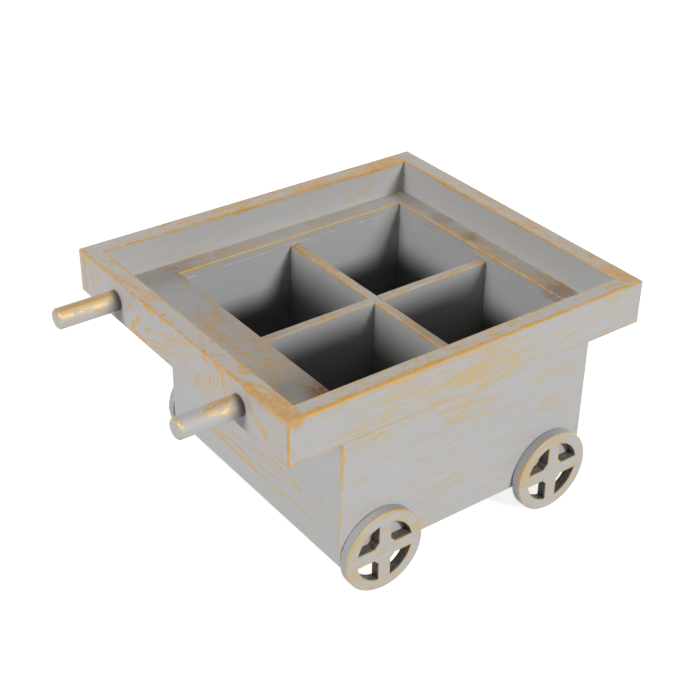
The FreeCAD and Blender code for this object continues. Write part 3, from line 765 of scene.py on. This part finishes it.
def handleFinish():
    # turned dowel: smooth grey paint, gold leaf wax rubbed over its upper side, with a painted highlight
    # towards the front
    made, tree, spot = newFinish("WaxRubbedDowel")
    low, high = place["near_handle"]
    axisZ, radius = (low.z + high.z) / 2, (high.z - low.z) / 2
    farY = (place["far_handle"][0].y + place["far_handle"][1].y) / 2
    x, y, z = (addNode(tree, "SeparateXYZ", {0: spot}, out=axis) for axis in "XYZ")
    reach = addNode(tree, "Math", {0: y}, operation="ABSOLUTE")
    side = addNode(tree, "Math", {0: y}, operation="SIGN")
    offY = masked(tree, addNode(tree, "Math", {0: reach, 1: farY}, operation="SUBTRACT"), side)
    offZ = addNode(tree, "Math", {0: z, 1: axisZ}, operation="SUBTRACT")
    # painted highlight on the side of the dowel that faces the front and up
    gleamY, gleamZ = handleLook["gleamTo"]
    paintedHighlight = addNode(tree, "Math", {0: offY, 1: gleamY, 2: masked(tree, offZ, gleamZ)},
                  operation="MULTIPLY_ADD")
    paintedHighlight = addNode(tree, "MapRange", {"Value": paintedHighlight, "From Min": radius * handleLook["gleamShare"],
                                     "From Max": radius})
    offAxis = addNode(tree, "CombineXYZ", {0: offY, 1: offZ})
    r = addNode(tree, "VectorMath", {0: offAxis}, out="Value", operation="LENGTH")
    rim = rubbedEdge(tree, spot, away(tree, x, low.x), away(tree, r, radius), handleLook["rim"])
    root = handleRoot(tree, x)
    wax = strongest(tree, handleLeaf(tree, spot, offZ, radius), rim)
    wax = masked(tree, wax, opposite(tree, root))
    look = dict(paintLook, film=handleLook["filmColour"], shade=handleLook["rootShade"])
    look.update({key: handleLook[key] for key in ("tone", "brush", "metal", "waxRough", "wax", "brightWax")})
    return finishPaint(made, tree, spot, wax, look, shade=root, gleam=paintedHighlight)


# Wheels
wheelLook = {
    "rim": {"thin": 0.35, "thick": 0.85, "run": 15, "least": 0.45, "most": 0.85, "shift": 2.0,
            "richer": [(-26, -94.4, 51, 17, 0.4), (-8, -94.4, 34, 12, 0.4), (72, -94.4, 34, 9, 0.6)]},
    "window": {"thin": 0.25, "thick": 0.8, "run": 12, "least": 0.4, "most": 0.85, "shift": 12.0},
    "windowRadius": 19, "hubRadius": 8, "halfSpoke": 4, "tone": (18, 6, 4), "brush": (12, 2, 0.8),
    # the shade grey stands for soot and painted shade behind the outer face
    "fresh": 0.6, "shade": "#47474A", "stain": "#7B4A2E",
    # darker behind the outer face: in the windows partly soot on the cut edges and partly painted shade, and
    # painted shade a little on the tread
    "insideDepths": (0.2, 0.9), "cutDistances": (0.35, 0.12), "treadShade": 0.18,
    "sootySize": (4, 3, 4), "sootyLow": 0.35, "sootyHigh": 0.6, "sootyLeast": 0.6, "sootyMost": 0.85,
    # raw wood in the windows at the back
    "rawDepth": 1.8, "rawShare": 1 / 3, "rawSize": (4, 1.5, 2.5), "rawLow": 0.36, "rawHigh": 0.54,
    "face": {"stroke": (8, 2, 1.0), "band": (16, 16, 8), "gather": 0.8, "start": 0.52, "strength": 0.5,
             "haze": 0.12, "shift": 10.0,
             "richer": [(74, -94.4, 35, 7, 0.42), (114, -94.4, 24, 7, 0.26), (-9, -94.4, 34, 8, 0.2),
                        (-49, -94.4, 19, 8, 0.18), (-29, -94.4, 43, 6, 0.15)]},
}


def wheelFaces(tree, spot):
    # how far a place lies from a wheel's tread, from its windows' cut faces and behind its outer face
    x, y, z = (addNode(tree, "SeparateXYZ", {0: spot}, out=axis) for axis in "XYZ")
    left, right = place["handle_end_near_wheel"], place["far_end_near_wheel"]
    leftX, rightX = (left[0].x + left[1].x) / 2, (right[0].x + right[1].x) / 2
    hubZ, wheelRadius = (left[0].z + left[1].z) / 2, (left[1].z - left[0].z) / 2
    dx = away(tree, away(tree, x, (leftX + rightX) / 2), (rightX - leftX) / 2)
    dz = away(tree, z, hubZ)
    offHub = addNode(tree, "CombineXYZ", {0: dx, 2: dz})
    r = addNode(tree, "VectorMath", {0: offHub}, out="Value", operation="LENGTH")
    window = strongest(
        tree,
        addNode(tree, "Math", {0: wheelLook["halfSpoke"], 1: dx}, operation="SUBTRACT"),
        addNode(tree, "Math", {0: wheelLook["halfSpoke"], 1: dz}, operation="SUBTRACT"),
        addNode(tree, "Math", {0: wheelLook["hubRadius"], 1: r}, operation="SUBTRACT"),
        addNode(tree, "Math", {0: r, 1: wheelLook["windowRadius"]}, operation="SUBTRACT"),
    )
    reach = addNode(tree, "Math", {0: y}, operation="ABSOLUTE")
    outside = place["far_end_far_wheel"][1].y
    depth = addNode(tree, "Math", {0: outside, 1: reach}, operation="SUBTRACT")
    return away(tree, r, wheelRadius), away(tree, window), depth


def wheelFinish():
    # sawn board wheel, painted grey: gold round the rim, soot and painted shade in the windows, painted
    # shade on the tread, raw brown behind
    made, tree, spot = newFinish("SawnPaintedWheel")
    rim, window, depth = wheelFaces(tree, spot)
    wax = strongest(
        tree,
        rubbedEdge(tree, spot, rim, depth, wheelLook["rim"]),
        rubbedEdge(tree, spot, window, depth, wheelLook["window"]),
        masked(tree, brushed(tree, spot, wheelLook["face"]), facing(tree, depth)),
    )
    insideFrom, insideTo = wheelLook["insideDepths"]
    inside = addNode(tree, "MapRange", {"Value": depth, "From Min": insideFrom, "From Max": insideTo})
    cutEnd, cutFull = wheelLook["cutDistances"]
    inWindow = addNode(tree, "MapRange", {"Value": window, "From Min": cutEnd, "From Max": cutFull})
    onTread = addNode(tree, "MapRange", {"Value": rim, "From Min": cutEnd, "From Max": cutFull,
                                         "To Max": wheelLook["treadShade"]})
    windowSootAndShade = patches(tree, spot, wheelLook["sootySize"], wheelLook["sootyLow"], wheelLook["sootyHigh"],
                    detail=3, shift=6)
    windowSootAndShade = addNode(tree, "MapRange", {"Value": windowSootAndShade, "To Min": wheelLook["sootyLeast"],
                                       "To Max": wheelLook["sootyMost"]})
    # painted shade on the tread, and soot with painted shade in the windows
    shade = masked(tree, strongest(tree, masked(tree, inWindow, windowSootAndShade), onTread), inside)
    low, high = place["handle_end_near_wheel"]
    thickness, rawDepth = high.y - low.y, wheelLook["rawDepth"]
    raw = addNode(tree, "MapRange", {"Value": depth, "From Min": thickness - rawDepth,
                                     "From Max": thickness - rawDepth * wheelLook["rawShare"]})
    raw = masked(tree, raw, inWindow, patches(tree, spot, wheelLook["rawSize"], wheelLook["rawLow"],
                                              wheelLook["rawHigh"], detail=3, shift=3))
    look = dict(paintLook)
    look.update({key: wheelLook[key] for key in ("tone", "brush", "shade", "stain")})
    return finishPaint(made, tree, spot, wax, look, shade, raw, fresh=wheelLook["fresh"])


# Hidden rods
rodLook = {"dark": "#A3A6AA", "pale": "#C4C7CB", "line": (0.4, 12, 0.4),
           "leastRough": 0.28, "mostRough": 0.42}


def rodFinish():
    # drawn mild steel rod: grey metal with fine lines along it
    made, tree, spot = newFinish("DrawnSteelRod")
    lines = patches(tree, spot, rodLook["line"], noise["low"], noise["high"])
    colour = addNode(tree, "MixRGB", {0: lines, 1: toLinear(rodLook["dark"]), 2: toLinear(rodLook["pale"])})
    rough = addNode(tree, "MapRange", {"Value": lines, "To Min": rodLook["leastRough"],
                                       "To Max": rodLook["mostRough"]})
    shader = addNode(tree, "BsdfPrincipled", {"Base Color": colour, "Metallic": 1.0, "Roughness": rough})
    addNode(tree, "OutputMaterial", {"Surface": shader})
    return made


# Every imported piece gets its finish
rails = {grain: railFinish(grain) for grain in "xy"}
walls = {grain: wallFinish(grain) for grain in "xy"}
finishes = {
    "handle_end_rail": rails["y"], "far_end_rail": rails["y"],
    "near_side_rail": rails["x"], "far_side_rail": rails["x"],
    "tray_floor": floorFinish(), "base_board": baseFinish(),
    "near_side_wall": walls["x"], "far_side_wall": walls["x"],
    "handle_end_wall": walls["y"], "far_end_wall": walls["y"],
    "long_divider": dividerFinish("x", "long_divider"), "cross_divider": dividerFinish("y", "cross_divider"),
    "rail_corner_brads": rails["y"], "floor_edge_brads": rails["x"],
    "wall_corner_brads": walls["x"], "base_brads": walls["x"], "divider_brads": walls["x"],
}
finishes["tray_to_box_brads"] = finishes["tray_floor"]
finishes["near_handle"] = finishes["far_handle"] = handleFinish()
finishes["handle_end_axle"] = finishes["far_end_axle"] = rodFinish()
wheelPaint = wheelFinish()
for name in place:
    if name.endswith("_wheel"):
        finishes[name] = wheelPaint
for name, finish in finishes.items():
    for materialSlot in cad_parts[name].material_slots:
        materialSlot.material = finish
print("finishes set:", len(set(finishes.values())))


# Dried glue under the well's edge and in two corners
seamLook = {
    "grey": "#B0B0AE", "paleGrey": "#C6C5C1", "paintRough": 0.45, "tone": (5, 5, 2), "brush": (2, 2, 0.6),
    "wax": 0.6, "waxSize": (7, 7, 3), "waxLow": 0.5, "waxHigh": 0.66,
    "speckSize": (3, 3, 3.5), "speckLow": 0.35, "speckHigh": 0.65, "specks": 0.3, "dirtySpecks": 0.7,
    # a bead's steps along the seam, the half width and height of its profile, and the points round it
    "step": 1.2, "width": 0.55, "stand": 0.22, "points": 5, "tipWidth": 0.01, "tipStand": 0.005,
    # how it swells and shrinks: middle and least amount, waves of these lengths, chance, steps to its tips
    "middle": 0.75, "least": 0.12, "swing": 0.6, "waves": (9.0, 4.1, 2.3), "phases": 6.28, "chance": 0.15,
    "tipSteps": 3, "wobble": 0.35, "seed": 7,
    # its distance from what it lies beside, from the seam's ends, and how far down the box's corner it runs
    "clear": 0.02, "ends": 1.0, "boxCorner": 24, "cornerSize": 1.8,
}


def seamFinish(name, specks):
    # dried wood glue painted over: pale, slightly glossy, a little gold caught on it
    made, tree, spot = newFinish(name)
    wax = patches(tree, spot, seamLook["waxSize"], seamLook["waxLow"], seamLook["waxHigh"])
    wax = masked(tree, wax, seamLook["wax"])
    look = dict(paintLook)
    look.update({key: seamLook[key] for key in ("tone", "brush", "grey", "paleGrey", "paintRough")})
    dirt = patches(tree, spot, seamLook["speckSize"], seamLook["speckLow"], seamLook["speckHigh"],
                   detail=3, shift=2)
    return finishPaint(made, tree, spot, wax, look, shade=masked(tree, dirt, specks))


def beadPoints(run, onFace, size, draw):
    # for each step along a bead: its share of the way, its sideways shift, its half width and its height
    look = seamLook
    count = int(run.length / look["step"])
    phases = [draw.uniform(0, look["phases"]) for _ in look["waves"]]
    for i in range(count + 1):
        share = i / count
        turns = (share * run.length / length + phase for length, phase in zip(look["waves"], phases))
        wave = sum(math.sin(turn) for turn in turns) / len(phases)
        amount = look["middle"] + look["swing"] * wave + draw.uniform(-look["chance"], look["chance"])
        amount = max(look["least"], amount)
        ends = min(1.0, min(i, count - i) / look["tipSteps"])
        shift = look["wobble"] * wave * look["swing"] if onFace else 0.0
        yield (share, shift, look["width"] * size * amount * ends + look["tipWidth"],
               look["stand"] * size * amount * ends + look["tipStand"])


def glueSeam(name, start, end, across, inward, sweep, size, finish):
    # a thin uneven bead along a seam: half round on a flat face, quarter round in a corner
    draw = random.Random(seamLook["seed"] + len(name))
    run = end - start
    onFace = sweep == 180
    points = seamLook["points"]
    vertices, faces = [], []
    for share, shift, width, stand in beadPoints(run, onFace, size, draw):
        centre = start + run * share + across * shift
        for j in range(points):
            turn = math.radians(sweep) * j / (points - 1)
            sideways, outwards = math.cos(turn) * width, math.sin(turn) * stand
            vertices.append((centre + across * sideways + inward * outwards) * mm)
        if not onFace:
            vertices.append(centre * mm)
    ring = points if onFace else points + 1
    last = len(vertices) - ring
    for first in range(0, last, ring):
        for j in range(ring):
            a, b = first + j, first + (j + 1) % ring
            faces.append((a, b, b + ring, a + ring))
    faces.append(tuple(range(ring))[::-1])
    faces.append(tuple(last + j for j in range(ring)))
    mesh = bpy.data.meshes.new(name)
    mesh.from_pydata(vertices, [], faces)
    mesh.materials.append(finish)
    for face in mesh.polygons:
        face.use_smooth = face.index < last and face.index % ring < points - 1     # round side only
    if run.cross(across).dot(inward) < 0:
        mesh.flip_normals()
    seam = bpy.data.objects.new(name, mesh)
    bpy.context.collection.objects.link(seam)
    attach(seam, "trolley")
    return seam


seamPaint = seamFinish("PaintedGlueSeam", seamLook["specks"])
dirtySeamPaint = seamFinish("DirtyPaintedGlueSeam", seamLook["dirtySpecks"])
x0, x1, y0, y1 = well
clear, ends = seamLook["clear"], seamLook["ends"]
# start, end, way into the well, size, finish
seams = {
    "far_side": ((x0 + ends, y1 - clear), (x1 - ends, y1 - clear), (0, -1), 1.0, seamPaint),
    "near_side": ((x0 + ends, y0 + clear), (x1 - ends, y0 + clear), (0, 1), 1.0, seamPaint),
    "far_end": ((x1 - clear, y0 + ends), (x1 - clear, y1 - ends), (-1, 0), 0.6, dirtySeamPaint),
    "handle_end": ((x0 + clear, y0 + ends), (x0 + clear, y1 - ends), (1, 0), 0.8, seamPaint),
}
for side, (start, end, inward, size, paint) in seams.items():
    glueSeam("glue_seam_" + side, Vector((*start, trayBottom)), Vector((*end, trayBottom)),
             Vector((0, 0, 1)), Vector((*inward, 0)), 180, size, paint)
# x, y, bottom, top
corners = {
    "tray_corner": (trayInside[1] - clear, trayInside[3] - clear, floorTop + clear, trayTop - ends),
    "box_corner": (x1 - clear, y1 - clear, trayBottom - seamLook["boxCorner"], trayBottom - ends),
}
for corner, (x, y, bottom, top) in corners.items():
    glueSeam("glue_seam_" + corner, Vector((x, y, bottom)), Vector((x, y, top)),
             Vector((-1, 0, 0)), Vector((0, -1, 0)), 90, seamLook["cornerSize"], dirtySeamPaint)
print("glue seams made:", len(seams) + len(corners))


# Studio
studio = {
    # metres from side to side of the floor
    "floorSize": 6.0, "floorGrey": "#CFCFCF", "floorGlow": 0.8, "ambient": 0.07, "white": "#FFFFFF",
    # each lamp: azimuth it shines from, elevation, level on a face square to it, width of its disc
    "lamps": {
        "frontLamp": (13, 21, 0.75, 12),
        "handleEndLamp": (-90.5, 20, 0.592, 16),
        "topLamp": (192, 44, 0.20, 25),
        "backLamp": (178, 7, 0.30, 10),
        "farEndLamp": (95, 7, 0.36, 10),
    },
}

floorMesh = bpy.data.meshes.new("studioFloor")
half = studio["floorSize"] / 2
floorCorners = [(-half, -half, 0), (half, -half, 0), (half, half, 0), (-half, half, 0)]
floorMesh.from_pydata(floorCorners, [], [(0, 1, 2, 3)])
studioFloor = bpy.data.objects.new("studioFloor", floorMesh)
bpy.context.collection.objects.link(studioFloor)
studioFloor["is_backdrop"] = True


def seenItself(tree):
    # 1 where the camera sees a surface itself, in a mirror or through glass, 0 where it only sends light on
    rays = tree.nodes.new("ShaderNodeLightPath")
    kinds = ("Camera", "Glossy", "Transmission")
    return strongest(tree, *(rays.outputs["Is " + kind + " Ray"] for kind in kinds))


# Matt paper sweep: white to the camera, with soft shadows
floorPaper = bpy.data.materials.new("MattStudioPaper")
floorPaper.use_nodes = True
tree = floorPaper.node_tree
tree.nodes.clear()
paper = addNode(tree, "BsdfDiffuse", {"Color": toLinear(studio["floorGrey"])})
glowing = masked(tree, seenItself(tree), studio["floorGlow"])
glow = addNode(tree, "Emission", {"Color": toLinear(studio["white"]), "Strength": glowing})
addNode(tree, "OutputMaterial", {"Surface": addNode(tree, "AddShader", {0: paper, 1: glow})})
floorMesh.materials.append(floorPaper)

# White background, and a low even light from all round
world = bpy.data.worlds.new("studioWorld")
bpy.context.scene.world = world
world.use_nodes = True
tree = world.node_tree
tree.nodes.clear()
strength = addNode(tree, "MapRange", {"Value": seenItself(tree), "To Min": studio["ambient"], "To Max": 1.0})
background = addNode(tree, "Background", {"Color": toLinear(studio["white"]), "Strength": strength})
addNode(tree, "OutputWorld", {"Surface": background})


def towards(azimuth, elevation):
    # the direction of something seen from the object, azimuth 0 in front and 90 at the far end
    a, e = math.radians(azimuth), math.radians(elevation)
    return Vector((math.sin(a) * math.cos(e), -math.cos(a) * math.cos(e), math.sin(e)))


for name, (azimuth, elevation, level, disc) in studio["lamps"].items():
    lamp = bpy.data.lights.new(name, "SUN")
    lamp.energy = level * math.pi
    lamp.angle = math.radians(disc)
    made = bpy.data.objects.new(name, lamp)
    bpy.context.collection.objects.link(made)
    made.rotation_mode = "QUATERNION"
    made.rotation_quaternion = towards(azimuth, elevation).to_track_quat("Z", "Y")

# Camera, at the photograph's angle
view = {
    "place": (-411.29, -563.69, 535.18), "azimuth": -37.07, "elevation": 32.14, "roll": 1.15,
    "lens": 73.43, "sensor": 36, "clip": (0.01, 50),     # lens and sensor in millimetres, clip in metres
}
camera = bpy.data.objects.new("photoCamera", bpy.data.cameras.new("photoCamera"))
bpy.context.collection.objects.link(camera)
camera.data.lens = view["lens"]
camera.data.sensor_width = view["sensor"]
camera.data.clip_start, camera.data.clip_end = view["clip"]
a, roll = math.radians(view["azimuth"]), math.radians(view["roll"])
back = towards(view["azimuth"], view["elevation"])
right = Vector((math.cos(a), math.sin(a), 0))
up = back.cross(right)
turnedRight = right * math.cos(roll) + up * math.sin(roll)
turnedUp = up * math.cos(roll) - right * math.sin(roll)
axes = Matrix((turnedRight, turnedUp, back)).transposed().to_4x4()
camera.matrix_world = Matrix.Translation(Vector(view["place"]) * mm) @ axes
bpy.context.scene.camera = camera
bpy.context.scene.view_settings.view_transform = "Standard"
print("studio set")

boxes = {"cad": cadBox, "visual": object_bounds()}
{name: [list(corner) for corner in box] for name, box in boxes.items()}
